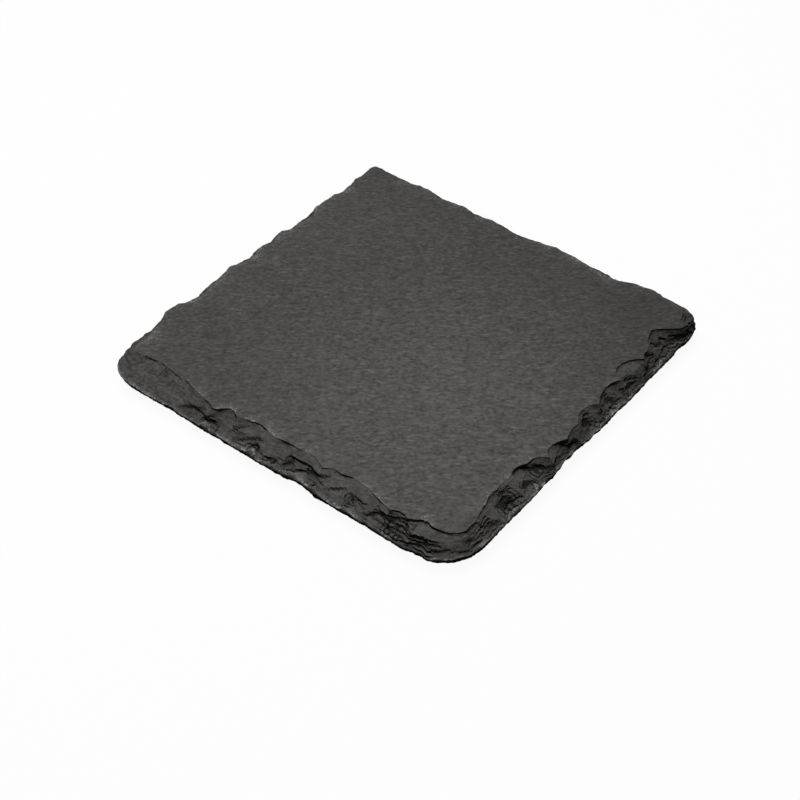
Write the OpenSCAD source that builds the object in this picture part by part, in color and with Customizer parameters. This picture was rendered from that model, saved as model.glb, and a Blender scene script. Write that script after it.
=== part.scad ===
// Square drink coaster: a slate slab with hand-chipped edges on four foam feet.
// The front side faces -Y and the slab's underside is carried above the table by its feet.

/* [Slate slab] */
// Length of the slab from its left side to its right side
slab_length = 100; // [80:1:130]
// Depth of the slab from its front side to its back side
slab_depth = 98; // [80:1:130]
// Thickness of the slab
slab_thickness = 5; // [4:0.25:8]

/* [Chipped edge] */
// Widest bevel on the front side
front_bevel = 8.3; // [3:0.1:10]
// Widest bevel on the right side
right_bevel = 6.4; // [3:0.1:10]
// Widest bevel on the back side
back_bevel = 2.8; // [2:0.1:10]
// Widest bevel on the left side
left_bevel = 3.3; // [2:0.1:10]
// Height of the rim above the underside
rim_height = 1.5; // [0.8:0.1:2]
// How far the underside's edge lies in from the rim
undercut = 0.6; // [0.2:0.05:1.2]
// Depth of the deepest nick in the rim
rim_nick = 0.9; // [0.2:0.05:1.5]

/* [Corners] */
// Radius of the worn front left corner
front_left_radius = 9.5; // [1:0.5:14]
// Radius of the worn front right corner
front_right_radius = 11; // [1:0.5:14]
// Radius of the worn back right corner
back_right_radius = 5; // [1:0.5:14]
// Radius of the nearly sharp back left corner
back_left_radius = 1.5; // [1:0.5:14]

/* [Feet] */
// Diameter of a foam pad
pad_diameter = 10; // [6:0.5:14]
// Thickness of a foam pad
pad_thickness = 1.5; // [1:0.1:4]
// Radius of the pad's soft edges
pad_edge = 0.3; // [0.1:0.05:0.45]
// Distance from the slab's sides to the middle of each pad
pad_inset = 15; // [12:0.5:25]
// Thickness of the adhesive disc between a pad and the slab
adhesive_thickness = 0.15; // [0.1:0.05:0.5]
// How far the adhesive disc's edge lies in from the pad's edge
adhesive_inset = 0.4; // [0.1:0.05:1]

/* [Hidden] */

slate_colour = [0.3, 0.3, 0.295];
foam_colour = [0.06, 0.06, 0.06];
adhesive_colour = [0.75, 0.72, 0.62];

// Heights of the slab's faces and of its rim
slab_bottom = pad_thickness + adhesive_thickness;
slab_top = slab_bottom + slab_thickness;
rim_z = slab_bottom + rim_height;

// Stations along a side between its corners, and round a corner
side_steps = 58;
corner_steps = 20;
pad_facets = 48;

// The sides in turn, anticlockwise seen from above: front, right, back, left.
// A place along a side is a share of half the side, from -1 at its start to 1 at its end.
half_runs = [slab_length, slab_depth, slab_length, slab_depth] / 2;
bevels = [front_bevel, right_bevel, back_bevel, left_bevel];
corner_radii = [front_right_radius, back_right_radius, back_left_radius, front_left_radius];

// Chips struck off each side: place, half width and setback of the chip, the falls at which
// its riser starts and ends, the fall at which its foot runs out, and how stepped it is.
// Setbacks are shares of the side's bevel. Falls are shares of the height from the top face
// to the rim: a chip that starts at 0 cuts the arris, and one that runs out at 1 cuts the rim.
front_chip_shares = [
    [-0.79, 0.18, 1.00, 0.00, 0.12, 1.00, 0.15],
    [-0.58, 0.24, 0.77, 0.00, 0.12, 1.00, 0.15],
    [-0.27, 0.09, 0.65, 0.00, 0.27, 1.00, 0.30],
    [-0.13, 0.14, 0.76, 0.00, 0.12, 1.00, 0.40],
    [0.14, 0.22, 0.65, 0.00, 0.00, 0.43, 0.30],
    [0.43, 0.18, 0.77, 0.00, 0.20, 1.00, 0.20],
    [0.65, 0.11, 0.59, 0.00, 0.00, 1.00, 0.90],
    [0.90, 0.28, 0.78, 0.00, 0.12, 0.27, 0.90],
    [-0.42, 0.14, 0.46, 0.43, 0.60, 1.00, 0.50],
    [-0.18, 0.09, 0.59, 0.43, 0.60, 1.00, 0.60],
    [-0.19, 0.06, 0.33, 0.60, 0.78, 1.00, 0.50],
    [-0.09, 0.06, 0.46, 0.60, 0.78, 1.00, 0.50],
    [0.24, 0.14, 0.48, 0.12, 0.60, 1.00, 0.30],
    [0.28, 0.10, 0.35, 0.60, 0.78, 1.00, 0.50],
    [0.49, 0.09, 0.48, 0.43, 0.60, 1.00, 0.50],
    [0.86, 0.12, 0.41, 0.27, 0.78, 1.00, 0.50],
];
right_chip_shares = [
    [-0.76, 0.14, 0.59, 0.00, 0.12, 1.00, 0.60],
    [-0.57, 0.17, 0.86, 0.00, 0.12, 1.00, 0.70],
    [-0.43, 0.10, 0.89, 0.00, 0.35, 1.00, 0.30],
    [-0.35, 0.10, 0.73, 0.00, 0.20, 1.00, 0.30],
    [-0.22, 0.13, 0.56, 0.00, 0.30, 1.00, 0.40],
    [0.06, 0.14, 0.70, 0.00, 0.00, 1.00, 0.50],
    [0.25, 0.16, 0.69, 0.00, 0.20, 1.00, 0.30],
    [0.42, 0.12, 0.95, 0.00, 0.12, 0.27, 0.80],
    [0.57, 0.08, 0.55, 0.00, 0.27, 1.00, 0.60],
    [0.73, 0.11, 0.94, 0.00, 0.27, 1.00, 0.40],
    [-0.51, 0.08, 0.50, 0.43, 0.60, 1.00, 0.50],
    [-0.10, 0.08, 0.36, 0.43, 0.60, 1.00, 0.50],
    [0.02, 0.05, 0.40, 0.27, 0.43, 1.00, 0.50],
    [0.42, 0.09, 0.66, 0.27, 0.60, 1.00, 0.40],
    [0.63, 0.06, 0.45, 0.43, 0.60, 1.00, 0.50],
    [0.80, 0.08, 0.40, 0.43, 0.60, 1.00, 0.50],
];
back_chip_shares = [
    [-0.92, 0.12, 0.80, 0.00, 0.20, 1.00, 0.50],
    [-0.45, 0.18, 0.94, 0.00, 0.12, 1.00, 0.40],
    [-0.21, 0.10, 0.55, 0.00, 0.27, 1.00, 0.60],
    [0.02, 0.17, 1.00, 0.00, 0.20, 1.00, 0.40],
    [0.29, 0.12, 0.90, 0.00, 0.12, 1.00, 0.50],
    [0.52, 0.13, 0.68, 0.00, 0.20, 1.00, 0.60],
    [0.82, 0.14, 0.58, 0.00, 0.27, 1.00, 0.50],
    [-0.20, 0.09, 0.45, 0.27, 0.60, 1.00, 0.40],
    [0.40, 0.08, 0.50, 0.43, 0.60, 1.00, 0.50],
];
left_chip_shares = [
    [-0.92, 0.09, 0.70, 0.00, 0.20, 1.00, 0.50],
    [-0.75, 0.10, 0.74, 0.00, 0.12, 1.00, 0.40],
    [-0.41, 0.07, 0.70, 0.00, 0.20, 1.00, 0.50],
    [-0.28, 0.07, 0.98, 0.00, 0.27, 1.00, 0.40],
    [-0.11, 0.06, 0.73, 0.00, 0.12, 1.00, 0.60],
    [0.04, 0.08, 0.79, 0.00, 0.20, 1.00, 0.40],
    [0.24, 0.09, 0.64, 0.00, 0.20, 1.00, 0.50],
    [0.40, 0.12, 0.94, 0.00, 0.12, 1.00, 0.40],
    [0.66, 0.07, 0.73, 0.00, 0.27, 1.00, 0.60],
    [0.79, 0.09, 1.00, 0.00, 0.20, 1.00, 0.40],
    [-0.55, 0.09, 0.40, 0.43, 0.60, 1.00, 0.50],
    [0.53, 0.07, 0.45, 0.43, 0.60, 1.00, 0.50],
];
chip_shares = [front_chip_shares, right_chip_shares, back_chip_shares, left_chip_shares];

// Setback of the unchipped edge at the top face, as a share of the side's bevel
plain_setback_shares = [0.50, 0.20, 0.36, 0.29];
plain_curve = 1.2;
plain_step_share = 0.5;
// How much shallower the chipping is at the middle of the corner that ends each side
corner_relief_shares = [0.04, 0.35, 0.2, 0.2];

// Nicks in the rim of each side: place, half width and depth as a share of rim_nick
rim_nick_shares = [
    [[-0.60, 0.14, 0.5], [-0.24, 0.10, 0.4], [0.13, 0.16, 0.6], [0.60, 0.10, 0.5]],
    [[-0.45, 0.12, 0.6], [-0.24, 0.13, 1.0], [0.00, 0.07, 0.5], [0.32, 0.15, 0.7], [0.79, 0.06, 1.0]],
    [[-0.50, 0.16, 0.7], [0.00, 0.12, 0.5], [0.45, 0.18, 0.8]],
    [[-0.62, 0.12, 0.6], [-0.12, 0.10, 0.7], [0.22, 0.14, 0.5], [0.70, 0.10, 0.8]],
];

// Cleavage layers that the chipping bares, as falls from the top face to the rim
layer_fall_shares = [0, 0.12, 0.27, 0.43, 0.60, 0.78, 1];
layer_count = len(layer_fall_shares) - 1;
// Each layer's setback, the rim's height and the undercut ripple along the side
layer_ripple_share = 0.08;
rim_ripple_share = 0.18;
undercut_ripple_share = 0.30;
ripple_turns = 6;
ripple_phase = 137;
ripple_overtone = 2.7;
// Least width of a layer's riser and tread in plan, and how far a tread falls outward
least_step = 0.03;
tread_fall = 0.05;

// The chipping works outward from a core whose sides lie this far inside the rim
core_share = 1.25;
core_inset = core_share * max(concat(bevels, corner_radii));

function turned(side, run, out) = [
    [run, -out],
    [out, run],
    [-run, out],
    [-out, -run],
][side];

// Distance from the core's corner to the rim of a corner with radius r, at an angle from the
// side's normal
function corner_reach(angle, r) =
    let (centre = core_inset - r)
    let (shorter = core_inset * min(tan(angle), tan(90 - angle)))
    let (b = centre * (sin(angle) + cos(angle)))
    shorter <= centre
        ? core_inset / max(sin(angle), cos(angle))
        : b + sqrt(b * b - 2 * centre * centre + r * r);

function eased(t) = t * t * (3 - 2 * t);

// A station holds its core point, its reach out to the rim, the sides that shape it as
// [side, place, weight], and the share that a corner takes off its setbacks
function side_station(side, step) =
    let (half = half_runs[side])
    let (out = half_runs[(side + 1) % 4])
    let (run = (half - core_inset) * (2 * step / side_steps - 1))
    [turned(side, run, out - core_inset), turned(side, 0, core_inset), [[side, run / half, 1]], 0];

function corner_station(side, step) =
    let (half = half_runs[side])
    let (next = (side + 1) % 4)
    let (out = half_runs[next])
    let (angle = 90 * step / corner_steps)
    let (reach = corner_reach(angle, corner_radii[side]) * [sin(angle), cos(angle)])
    let (weight = eased(step / corner_steps))
    [
        turned(side, half - core_inset, out - core_inset),
        turned(side, reach.x, reach.y),
        [
            [side, (half - core_inset + reach.x) / half, 1 - weight],
            [next, -(out - core_inset + reach.y) / out, weight],
        ],
        corner_relief_shares[side] * sin(2 * angle),
    ];

stations = [
    for (side = [0:3]) each concat(
        [for (step = [0:side_steps - 1]) side_station(side, step)],
        [for (step = [0:corner_steps - 1]) corner_station(side, step)]
    ),
];
station_count = len(stations);

function total(values) = [for (v = values) 1] * values;

// From -1 to 1 along a side, with another phase for each layer
function ripple(place, layer) =
    (sin(180 * ripple_turns * place + ripple_phase * layer)
        + sin(180 * ripple_turns * ripple_overtone * place - ripple_phase * layer)) / 2;

function scallop(place, middle, half_width) =
    let (t = (place - middle) / half_width)
    abs(t) < 1 ? sqrt(1 - t * t) : 0;

// A chip stands at its full setback down its riser, and its foot runs out evenly below it
function chip_setback(chip, place, fall) =
    fall < chip[3] || fall >= chip[5]
        ? 0
        : chip[2] * scallop(place, chip[0], chip[1]) * min(1, (chip[5] - fall) / (chip[5] - chip[4]));

// The deepest cut into a side at one place and fall, as [setback, how stepped it is]
function side_cut(side, place, fall) =
    let (chips = chip_shares[side])
    let (plain = plain_setback_shares[side] * pow(1 - fall, plain_curve))
    let (depths = [for (chip = chips) chip_setback(chip, place, fall)])
    let (deepest = max(depths))
    deepest > plain
        ? [bevels[side] * deepest, chips[search(deepest, depths)[0]][6]]
        : [bevels[side] * plain, plain_step_share];

function nick_setback(side, place) =
    rim_nick * max([for (nick = rim_nick_shares[side]) nick[2] * pow(scallop(place, nick[0], nick[1]), 2)]);

function rim_setback(station) = total([for (s = station[2]) s[2] * nick_setback(s[0], s[1])]);

function station_ripple(station, layer) = total([for (s = station[2]) s[2] * ripple(s[1], layer)]);

// Setback of the chipping at one layer, before the layers are kept in order, and how stepped it is
function layer_cut(station, layer) =
    let (fall = layer_fall_shares[layer])
    let (cut = total([for (s = station[2]) s[2] * side_cut(s[0], s[1], fall)]))
    let (ripple = 1 + layer_ripple_share * station_ripple(station, layer))
    [cut[0] * (1 - station[3]) * ripple, cut[1]];

// Each layer reaches further out than the one above it
function ordered_cuts(station, layer) =
    let (cut = layer_cut(station, layer))
    let (least = 2 * (layer_count - layer) * least_step)
    layer == 0
        ? [[max(cut[0], least), cut[1]]]
        : let (above = ordered_cuts(station, layer - 1))
            let (most = above[layer - 1][0] - 2 * least_step)
            concat(above, [[min(most, max(least, cut[0])), cut[1]]]);

function point_at(station, setback, z) =
    let (p = station[0] + station[1] * (1 - setback / core_inset))
    [p.x, p.y, z];

function layer_z(station, layer) =
    let (rim = rim_z + rim_height * rim_ripple_share * station_ripple(station, layer_count))
    slab_top - (slab_top - rim) * layer_fall_shares[layer];

// Points of one station from the top face down: the arris, then the foot of each riser and
// the outer edge of its tread, then the underside's edge
function station_points(station) =
    let (nick = rim_setback(station))
    let (cuts = ordered_cuts(station, layer_count))
    let (under = undercut * (1 + undercut_ripple_share * station_ripple(station, 1)))
    concat(
        [point_at(station, nick + cuts[0][0], slab_top)],
        [
            for (layer = [1:layer_count])
                let (tread = max(least_step, cuts[layer][1] * (cuts[layer - 1][0] - cuts[layer][0])))
                let (z = layer_z(station, layer))
                each [
                    point_at(station, nick + cuts[layer][0] + tread, z + tread_fall),
                    point_at(station, nick + cuts[layer][0], z),
                ],
        ],
        [point_at(station, nick + under, slab_bottom)]
    );

ring_count = 2 * layer_count + 2;

module slate_slab() {
    columns = [for (station = stations) station_points(station)];
    points = concat(
        [for (column = columns) each column],
        [[0, 0, slab_top], [0, 0, slab_bottom]]
    );
    top_middle = station_count * ring_count;
    bottom_middle = top_middle + 1;
    faces = [
        for (i = [0:station_count - 1])
            let (here = i * ring_count)
            let (next = ((i + 1) % station_count) * ring_count)
            each concat(
                [[top_middle, next, here]],
                [
                    for (ring = [0:ring_count - 2]) each [
                        [here + ring, next + ring, next + ring + 1],
                        [here + ring, next + ring + 1, here + ring + 1],
                    ],
                ],
                [[bottom_middle, here + ring_count - 1, next + ring_count - 1]]
            ),
    ];
    color(slate_colour) polyhedron(points, faces);
}

// Puts a foot's piece under one corner: across is -1 at the left and 1 at the right, along
// is -1 at the front and 1 at the back
module under_corner(across, along) {
    x = across * (slab_length / 2 - pad_inset);
    y = along * (slab_depth / 2 - pad_inset);
    translate([x, y, 0]) children();
}

module foam_pad() {
    radius = pad_diameter / 2;
    color(foam_colour) rotate_extrude($fn = pad_facets) {
        translate([0, pad_edge]) square([radius, pad_thickness - 2 * pad_edge]);
        square([radius - pad_edge, pad_thickness]);
        for (z = [pad_edge, pad_thickness - pad_edge]) {
            translate([radius - pad_edge, z]) circle(pad_edge, $fn = pad_facets / 3);
        }
    }
}

module adhesive_disc() {
    color(adhesive_colour) translate([0, 0, pad_thickness])
        cylinder(d = pad_diameter - 2 * adhesive_inset, h = adhesive_thickness, $fn = pad_facets);
}

slate_slab();
under_corner(-1, -1) foam_pad();  // foam_pad_front_left
under_corner(1, -1) foam_pad();  // foam_pad_front_right
under_corner(1, 1) foam_pad();  // foam_pad_back_right
under_corner(-1, 1) foam_pad();  // foam_pad_back_left
under_corner(-1, -1) adhesive_disc();  // adhesive_disc_front_left
under_corner(1, -1) adhesive_disc();  // adhesive_disc_front_right
under_corner(1, 1) adhesive_disc();  // adhesive_disc_back_right
under_corner(-1, 1) adhesive_disc();  // adhesive_disc_back_left
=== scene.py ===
"""A square slate drink coaster with hand-chipped edges on four foam feet, in a plain studio."""
import logging
import math
import random
from dataclasses import dataclass, field, replace
from enum import Enum
from typing import Any, Callable, Sequence

import bmesh
import bpy
from bmesh.types import BMEdge, BMesh, BMVert
from mathutils import Matrix, Vector, noise


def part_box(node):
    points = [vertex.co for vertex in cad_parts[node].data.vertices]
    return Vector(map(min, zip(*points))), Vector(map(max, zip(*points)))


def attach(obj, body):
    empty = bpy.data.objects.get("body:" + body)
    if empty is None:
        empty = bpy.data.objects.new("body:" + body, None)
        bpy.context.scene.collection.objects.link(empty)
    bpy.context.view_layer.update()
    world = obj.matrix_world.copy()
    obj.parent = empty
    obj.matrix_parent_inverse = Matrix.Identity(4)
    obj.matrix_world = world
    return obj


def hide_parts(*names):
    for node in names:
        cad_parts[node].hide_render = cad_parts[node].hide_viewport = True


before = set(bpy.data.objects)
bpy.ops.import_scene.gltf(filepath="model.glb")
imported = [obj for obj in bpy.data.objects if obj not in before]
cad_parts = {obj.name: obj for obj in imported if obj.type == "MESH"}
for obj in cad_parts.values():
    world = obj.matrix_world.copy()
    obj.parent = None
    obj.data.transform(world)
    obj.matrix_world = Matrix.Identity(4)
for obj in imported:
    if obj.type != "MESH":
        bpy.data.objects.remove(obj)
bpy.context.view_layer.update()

LOG = logging.getLogger("coaster")
MM = 0.001
WHITE = (1.0, 1.0, 1.0, 1.0)
LEVEL = 1e-7  # an edge is level if its ends differ by less than this, in metres
SHELF_FALL = 0.5  # a chip that runs out above this fall is a shelf
SIDE_GAP = 17  # distance between the sides in the noise, in millimetres


# Small helpers


def clamped(value: float, low: float, high: float) -> float:
    """The value, kept between a low one and a high one."""
    return min(high, max(low, value))


def eased(t: float) -> float:
    """Goes from 0 to 1 with level ends as t does."""
    t = clamped(t, 0.0, 1.0)
    return t * t * (3 - 2 * t)


def ramp(value: float, start: float, end: float) -> float:
    """Goes smoothly from 0 to 1 as a value goes from start to end."""
    return eased((value - start) / (end - start))


def scallop(place: float, middle: float, half_width: float) -> float:
    """Height of a half ellipse of unit height at a place: 1 at its middle, 0 past its ends."""
    t = (place - middle) / half_width
    return math.sqrt(1 - t * t) if abs(t) < 1 else 0.0


def along_line(line: Sequence[tuple[float, float]], place: float) -> float:
    """Height of a line of points at a place, level past its ends."""
    if place <= line[0][0]:
        return line[0][1]
    for (start, low), (end, high) in zip(line, line[1:]):
        if place <= end:
            return low + (high - low) * (place - start) / (end - start)
    return line[-1][1]


@dataclass(frozen=True)
class Unevenness:
    """Smooth noise about a mean, read at a layer of the noise; its size is in millimetres."""

    layer: float
    size: float
    octaves: int = 1
    mean: float = 0.0
    swing: float = 1.0
    rise: float = 0.0
    fading: float = 0.8
    fineness: float = 2.1

    def at(self, x: float, y: float, depth: float = 0.0) -> float:
        """The value at a place.

        Args:
            x, y: the place, in millimetres.
            depth: how many rises above the layer it is read.

        Returns:
            The mean, give or take about the swing; it is the same for every run.
        """
        spot = Vector((x, y, self.layer + self.rise * depth)) / self.size
        if self.octaves == 1:
            return self.mean + self.swing * noise.noise(spot)
        return self.mean + self.swing * noise.fractal(
            spot, self.fading, self.fineness, self.octaves
        )


def ring_edges(bm: BMesh, ring: Sequence[BMVert]) -> list[BMEdge]:
    """The edges that join a closed ring of vertices."""
    return [bm.edges.get(pair) for pair in zip(ring, [*ring[1:], ring[0]])]


def finished_object(
    name: str, bm: BMesh, material: bpy.types.Material, sharp_angle: float = 30.0
) -> bpy.types.Object:
    """Turns a bmesh into an object in the scene, smooth but for its sharp edges.

    Args:
        name: the piece's name.
        bm: its shape, in metres; it is freed.
        material: its finish.
        sharp_angle: edges that turn by more than this, in degrees, stay sharp.

    Returns:
        The new object.
    """
    mesh = bpy.data.meshes.new(name)
    bm.to_mesh(mesh)
    bm.free()
    mesh.shade_smooth()
    mesh.set_sharp_from_angle(angle=math.radians(sharp_angle))
    mesh.materials.append(material)
    piece = bpy.data.objects.new(name, mesh)
    bpy.context.scene.collection.objects.link(piece)
    return piece


# Node graphs


class Signal:
    """An output socket whose arithmetic adds Math nodes to its graph."""

    def __init__(self, graph: "NodeGraph", socket: bpy.types.NodeSocket | None) -> None:
        """Wraps one output socket of a node."""
        self.graph = graph
        self.socket = socket

    def __add__(self, other: "Signal | float") -> "Signal":
        """Sum."""
        return self.graph.math("ADD", self, other)

    __radd__ = __add__

    def __sub__(self, other: "Signal | float") -> "Signal":
        """Difference."""
        return self.graph.math("SUBTRACT", self, other)

    def __rsub__(self, other: float) -> "Signal":
        """Difference from a number."""
        return self.graph.math("SUBTRACT", other, self)

    def __mul__(self, other: "Signal | float") -> "Signal":
        """Product."""
        return self.graph.math("MULTIPLY", self, other)

    def highest(self, other: "Signal | float") -> "Signal":
        """The larger of the two."""
        return self.graph.math("MAXIMUM", self, other)

    def size(self) -> "Signal":
        """Its size without its sign."""
        return self.graph.math("ABSOLUTE", self, 0.0)

    def masked(self, low: float, high: float) -> "Signal":
        """0 below low, 1 above high and smooth between them."""
        return self.graph.node(
            "ShaderNodeMapRange",
            {"interpolation_type": "SMOOTHSTEP", "clamp": True},
            {"Value": self, "From Min": low, "From Max": high},
            "Result",
        )


class NodeGraph:
    """A material's or a world's nodes."""

    def __init__(self, owner: bpy.types.Material | bpy.types.World) -> None:
        """Empties the owner's node tree and keeps it."""
        owner.use_nodes = True
        self.tree = owner.node_tree
        self.tree.nodes.clear()

    def node(
        self,
        kind: str,
        settings: dict[str, Any] | None = None,
        inputs: dict[str | int, Any] | None = None,
        output: str | int = 0,
    ) -> Signal:
        """Adds one node.

        Args:
            kind: the node's type.
            settings: its own properties.
            inputs: values of, or links to, its input sockets.
            output: which output socket is wanted.

        Returns:
            The wanted output as a signal.
        """
        made = self.tree.nodes.new(kind)
        for key, value in (settings or {}).items():
            setattr(made, key, value)
        for key, value in (inputs or {}).items():
            if isinstance(value, Signal):
                self.tree.links.new(value.socket, made.inputs[key])
            else:
                made.inputs[key].default_value = value
        return Signal(self, made.outputs[output] if made.outputs else None)

    def math(self, operation: str, first: Any, second: Any) -> Signal:
        """One Math node on two values or signals."""
        return self.node("ShaderNodeMath", {"operation": operation}, {0: first, 1: second})

    def mixed(self, factor: Signal, first: Any, second: Any) -> Signal:
        """Mixes two colours, where the factor is the second one's share."""
        settings = {"data_type": "RGBA", "clamp_factor": True}
        return self.node("ShaderNodeMix", settings, {0: factor, 6: first, 7: second}, 2)

    def mixed_shader(self, factor: Signal | float, first: Signal, second: Signal) -> Signal:
        """Mixes two shaders, where the factor is the second one's share."""
        return self.node("ShaderNodeMixShader", inputs={0: factor, 1: first, 2: second})

    def object_coordinates(self) -> Signal:
        """The place on the object, in metres."""
        return self.node("ShaderNodeTexCoord", output="Object")

    def attribute(self, name: str) -> Signal:
        """A number that the mesh carries."""
        return self.node("ShaderNodeAttribute", {"attribute_name": name}, output="Fac")

    def distance(self, spot: tuple[float, float, float]) -> Signal:
        """Distance from a spot on the object, in metres."""
        inputs = {0: self.object_coordinates(), 1: spot}
        return self.node("ShaderNodeVectorMath", {"operation": "DISTANCE"}, inputs, "Value")

    def grain(
        self,
        size: tuple[float, float, float],
        turn: float = 0.0,
        detail: float = 2.0,
        roughness: float = 0.5,
        start: float = 0.0,
    ) -> Signal:
        """Noise whose features have a given size, centred on zero.

        Args:
            size: length, width and height of a feature, in millimetres.
            turn: direction of the length in plan, in radians from +X.
            detail: how many finer layers it has.
            roughness: strength of the finer layers.
            start: offset that makes one grain differ from another, in metres.

        Returns:
            The noise, about from -0.5 to 0.5.
        """
        place = self.node(
            "ShaderNodeMapping",
            {"vector_type": "TEXTURE"},
            {
                "Vector": self.object_coordinates(),
                "Location": (start, start, start),
                "Rotation": (0.0, 0.0, turn),
                "Scale": [side * MM for side in size],
            },
        )
        inputs = {"Vector": place, "Scale": 1.0, "Detail": detail, "Roughness": roughness}
        return self.node("ShaderNodeTexNoise", inputs=inputs) - 0.5

    def bump(self, strength: float, depth: float, height: Signal) -> Signal:
        """A normal that follows a height, whose unit is a depth in millimetres."""
        inputs = {"Strength": strength, "Distance": depth * MM, "Height": height}
        return self.node("ShaderNodeBump", inputs=inputs)

    def surface(
        self, colour: Signal, roughness: Signal, normal: Signal, specular: float = 0.5
    ) -> Signal:
        """A principled surface with a specular level."""
        inputs = {"Base Color": colour, "Roughness": roughness, "Normal": normal}
        inputs["Specular IOR Level"] = specular
        return self.node("ShaderNodeBsdfPrincipled", inputs=inputs)

    def finish_with(self, shader: Signal, kind: str = "ShaderNodeOutputMaterial") -> None:
        """Links the finished shader to the output."""
        self.node(kind, inputs={"Surface": shader})


def new_material(name: str) -> tuple[bpy.types.Material, NodeGraph]:
    """A new material and its empty graph."""
    material = bpy.data.materials.new(name)
    return material, NodeGraph(material)


# Finishes


@dataclass(frozen=True)
class SlateFinish:
    """Dark grey slate, honed along one direction on top and split where it is chipped."""

    shadow_tone: tuple = (0.0180, 0.0175, 0.0162, 1.0)
    light_tone: tuple = (0.1420, 0.1385, 0.1300, 1.0)
    # painted shade: the near-black colour that sheer faces, creases, torn hollows and the
    # undercut are darkened towards, where shade falls
    painted_shade_tone: tuple = (0.0075, 0.0074, 0.0072, 1.0)
    bruise_tone: tuple = (0.335, 0.335, 0.335, 1.0)
    lineation: float = math.radians(38.2)
    # Painted light and shade on the top: paler round the pool's middle, and darker far from the
    # far corner, towards the back right
    light_pool_middle: tuple = (23 * MM, -19 * MM, 6.65 * MM)
    light_pool_reach: tuple = (0.0, 62 * MM)
    far_corner: tuple = (-30 * MM, -70 * MM, 6.65 * MM)
    far_reach: tuple = (90 * MM, 140 * MM)
    crease_shade_cover: float = 0.95
    hollow_shade_cover: float = 0.9
    crushed_cover: float = 0.85
    bruise_and_light_haze: float = 0.18
    roughness: float = 0.68
    honed_gloss: float = 0.12
    name: str = "slate_stone"

    def _honed_tone(self, graph: NodeGraph) -> Signal:
        """Streaks, bands, patches and flecks of the honed face, about 0 in the mean."""
        turn = self.lineation
        fine = graph.grain((0.85, 0.66, 0.7), turn, 1.0)
        streaks = graph.grain((2.4, 0.95, 1.0), turn, 1.0, start=0.031)
        bands = graph.grain((26, 3.6, 5), turn - 0.06, 3.0, start=0.057)
        patches = graph.grain((24, 18, 20), turn, start=0.083)
        flecks = graph.grain((2.0, 0.6, 0.7), turn, 1.0, start=0.121)
        veins = graph.grain((9, 5, 5), turn + 0.5, 3.0, start=0.149)
        tone = fine + streaks * 0.4 + bands * 0.09 + patches * 0.12
        vein = 1 - veins.size().masked(0.0, 0.012)
        wisps = vein * (patches * -1.0).masked(0.02, 0.12)
        return tone + flecks.masked(0.08, 0.22) * 0.36 + wisps * 0.1 - 0.05

    def _split_tone(self, graph: NodeGraph) -> Signal:
        """Grain of the split faces: a mottle, and thin beds where a face is steep."""
        turn = self.lineation
        mottle = graph.grain((1.0, 0.7, 0.6), turn, roughness=0.6, start=0.2)
        stains = graph.grain((3.5, 3.0, 1.0), turn, start=0.27)
        beds = graph.grain((6, 6, 0.22), turn, roughness=0.6, start=0.3)
        glints = graph.grain((0.8, 0.5, 0.4), turn, roughness=0.6, start=0.35)
        tone = mottle * 1.15 + stains * 0.7 + beds * 0.6
        return tone + glints.masked(0.10, 0.22) * 0.4 + 0.14

    def _pale_zone(self, graph: NodeGraph) -> Signal:
        """Painted light and shade on the top.

        A paler pool near the front right corner fades out over the slab, and painted shade
        grows towards the back right.
        """
        near = graph.distance(self.light_pool_middle).masked(*self.light_pool_reach)
        far = graph.distance(self.far_corner).masked(*self.far_reach)
        return 0.09 - near * 0.24 - far * 0.12

    def material(self) -> bpy.types.Material:
        """Makes the slate's material.

        Returns:
            The material; it reads the mesh's attributes chipped, steep, crease, gloom
            and bruise. Steep, crease and gloom give painted shade, and bruise is partly
            painted light.
        """
        material, graph = new_material(self.name)
        chipped, steep, crease, gloom, bruise = (
            graph.attribute(name) for name in ("chipped", "steep", "crease", "gloom", "bruise")
        )
        # Painted light and shade: paler near the front right, darker towards the back right,
        # with stronger grain where it is paler
        painted_light = self._pale_zone(graph)
        honed = self._honed_tone(graph) * (1.15 + painted_light * 2.0)
        split = self._split_tone(graph)
        tone = honed + (split - honed) * chipped
        colour = graph.mixed(tone + painted_light + 0.5, self.shadow_tone, self.light_tone)
        speckle = graph.grain((0.45, 0.35, 0.35), self.lineation, roughness=0.7, start=0.4)
        # Painted shade: torn patches in the hollows (gloom), sheer faces (steep), and creases
        # and the undercut (crease) go towards the painted shade tone
        torn = (gloom * 0.9 + speckle * 1.6 + split * 1.3).masked(0.2, 1.0)
        dark = steep.highest(crease * self.crease_shade_cover) * (1.0 + speckle * 0.4)
        dark = dark.highest(torn * gloom.masked(0.0, 0.15) * self.hollow_shade_cover)
        colour = graph.mixed(dark, colour, self.painted_shade_tone)
        # Bruises lighten the arris and rim as wear; their broad haze is partly painted light, a
        # paler band along the back and left lips
        crushed = (bruise * 0.75 + speckle * 3.2).masked(0.48, 0.82) * bruise.masked(0.02, 0.2)
        bruised = crushed * self.crushed_cover + bruise.masked(0.0, 0.8) * self.bruise_and_light_haze
        colour = graph.mixed(bruised, colour, self.bruise_tone)
        relief = graph.bump(0.55, 0.12, tone * (2 + chipped) + crushed * 0.5)
        roughness = self.roughness + tone * 0.4
        honed_face = graph.surface(colour, roughness, relief, self.honed_gloss)
        split_face = graph.surface(colour, roughness, relief, 0.0)
        graph.finish_with(graph.mixed_shader(chipped, honed_face, split_face))
        return material


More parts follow.
